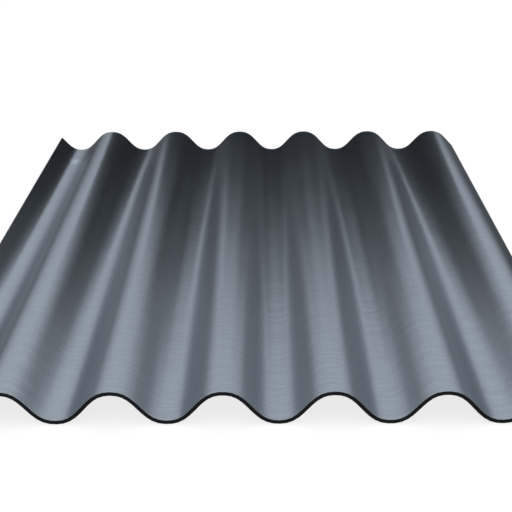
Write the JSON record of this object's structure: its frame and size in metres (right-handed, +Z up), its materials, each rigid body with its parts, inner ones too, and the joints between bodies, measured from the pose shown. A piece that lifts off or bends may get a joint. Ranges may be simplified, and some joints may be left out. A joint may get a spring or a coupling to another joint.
{
  "type": "corrugated fibre cement sheet",
  "caption": "Rectangular corrugated roofing sheet of fibre cement, with round waves along its length and plain cut edges.",
  "frame": {"origin": "on the floor under the middle of the sheet", "axes": "+Y along the waves, +X across them from the under-lap edge to the over-lap edge, +Z up through the weathered face"},
  "size_m": [1.0908, 1.525, 0.0574],
  "materials": {
    "fibre_cement": "satin blue-black coating on the top face, fine cross ripple, dark cut edges"
  },
  "bodies": {
    "root": {"corrugated_sheet": "fibre_cement"}
  },
  "joints": []
}
